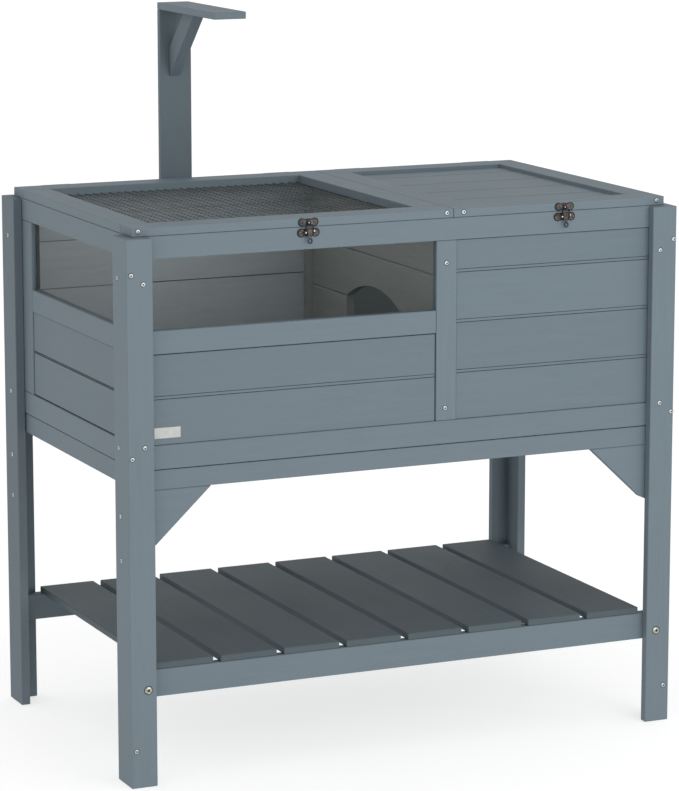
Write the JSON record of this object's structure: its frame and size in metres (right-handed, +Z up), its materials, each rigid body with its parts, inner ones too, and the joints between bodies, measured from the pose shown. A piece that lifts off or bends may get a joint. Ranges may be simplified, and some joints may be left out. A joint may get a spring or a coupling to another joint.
{
  "type": "raised small-animal house",
  "caption": "Painted wooden small-animal house on legs, with a glazed run under a mesh lid, a planked den under a solid lid, a slatted shelf and a lamp post.",
  "frame": {"origin": "centre of the footprint, on the floor under the legs", "axes": "+Z up, front with the latches and the window faces -Y, the glazed run is at -X and the den at +X"},
  "size_m": [1, 0.6096, 1.2297],
  "materials": {
    "blue_grey_paint": "blue-grey water-based paint, satin",
    "shelf_paint": "the same blue-grey paint, in the shade of the house",
    "interior_wood": "warm grey stain, matt",
    "clear_acrylic": "clear sheet, polished",
    "wire_mesh": "dull grey wire",
    "zinc_steel": "bright zinc plated",
    "bronzed_steel": "antique bronze, worn at the edges"
  },
  "bodies": {
    "house": {"back_planks": "blue_grey_paint", "back_top_rail": "blue_grey_paint", "floor_board": "interior_wood", "front_apron": "blue_grey_paint", "front_bottom_rail": "blue_grey_paint", "front_centre_stile": "blue_grey_paint", "front_left_planks": "blue_grey_paint", "front_right_planks": "blue_grey_paint", "front_sill_rail": "blue_grey_paint", "front_top_rail": "blue_grey_paint", "front_window_pane": "clear_acrylic", "gusset_left": "blue_grey_paint", "gusset_right": "blue_grey_paint", "lamp_arm": "blue_grey_paint", "lamp_brace": "blue_grey_paint", "lamp_post": "blue_grey_paint", "left_apron": "blue_grey_paint", "left_bottom_rail": "blue_grey_paint", "left_hinge_1_wall_leaf": "zinc_steel", "left_hinge_2_wall_leaf": "zinc_steel", "left_latch_base": "bronzed_steel", "left_planks": "blue_grey_paint", "left_rear_stile": "blue_grey_paint", "left_sill_rail": "blue_grey_paint", "left_top_rail": "blue_grey_paint", "left_window_pane": "clear_acrylic", "leg_front_left": "blue_grey_paint", "leg_front_right": "blue_grey_paint", "leg_rear_left": "blue_grey_paint", "leg_rear_right": "blue_grey_paint", "partition": "interior_wood", "right_hinge_1_wall_leaf": "zinc_steel", "right_hinge_2_wall_leaf": "zinc_steel", "right_latch_base": "bronzed_steel", "right_planks": "blue_grey_paint", "right_top_rail": "blue_grey_paint", "shelf_front_rail": "blue_grey_paint", "shelf_rear_rail": "blue_grey_paint", "shelf_slat_1": "shelf_paint", "shelf_slat_2": "shelf_paint", "shelf_slat_3": "shelf_paint", "shelf_slat_4": "shelf_paint", "shelf_slat_5": "shelf_paint", "shelf_slat_6": "shelf_paint", "shelf_slat_7": "shelf_paint", "shelf_slat_8": "shelf_paint"},
    "left_lid": {"left_hinge_1_lid_leaf": "zinc_steel", "left_hinge_2_lid_leaf": "zinc_steel", "left_latch_keeper": "bronzed_steel", "left_lid_frame": "blue_grey_paint", "left_lid_mesh": "wire_mesh"},
    "right_lid": {"right_hinge_1_lid_leaf": "zinc_steel", "right_hinge_2_lid_leaf": "zinc_steel", "right_latch_keeper": "bronzed_steel", "right_lid_frame": "blue_grey_paint", "right_lid_panel": "blue_grey_paint"},
    "left_latch_lever": {"left_latch_lever": "bronzed_steel"},
    "left_latch_bail": {"left_latch_bail": "bronzed_steel"},
    "right_latch_lever": {"right_latch_lever": "bronzed_steel"},
    "right_latch_bail": {"right_latch_bail": "bronzed_steel"}
  },
  "joints": [
    {"name": "left_lid_hinge", "type": "hinge", "parent": "house", "child": "left_lid", "pos_m": [0, 0.2912, 0.9165], "axis": [-1, 0, 0], "range_deg": [0, 46]},
    {"name": "right_lid_hinge", "type": "hinge", "parent": "house", "child": "right_lid", "pos_m": [0, 0.2912, 0.9165], "axis": [-1, 0, 0], "range_deg": [0, 95]},
    {"name": "left_latch_lever_pivot", "type": "hinge", "parent": "house", "child": "left_latch_lever", "pos_m": [-0.1777, -0.294, 0.9], "axis": [-1, 0, 0], "range_deg": [0, 100]},
    {"name": "left_latch_bail_pivot", "type": "hinge", "parent": "left_latch_lever", "child": "left_latch_bail", "pos_m": [-0.1777, -0.2948, 0.8915], "axis": [1, 0, 0], "range_deg": [0, 100]},
    {"name": "right_latch_lever_pivot", "type": "hinge", "parent": "house", "child": "right_latch_lever", "pos_m": [0.292, -0.294, 0.9], "axis": [-1, 0, 0], "range_deg": [0, 100]},
    {"name": "right_latch_bail_pivot", "type": "hinge", "parent": "right_latch_lever", "child": "right_latch_bail", "pos_m": [0.292, -0.2948, 0.8915], "axis": [1, 0, 0], "range_deg": [0, 100]}
  ],
  "couplings": [
    {"joint": "left_latch_bail_pivot", "follows": "left_latch_lever_pivot", "ratio": 1},
    {"joint": "right_latch_bail_pivot", "follows": "right_latch_lever_pivot", "ratio": 1}
  ]
}
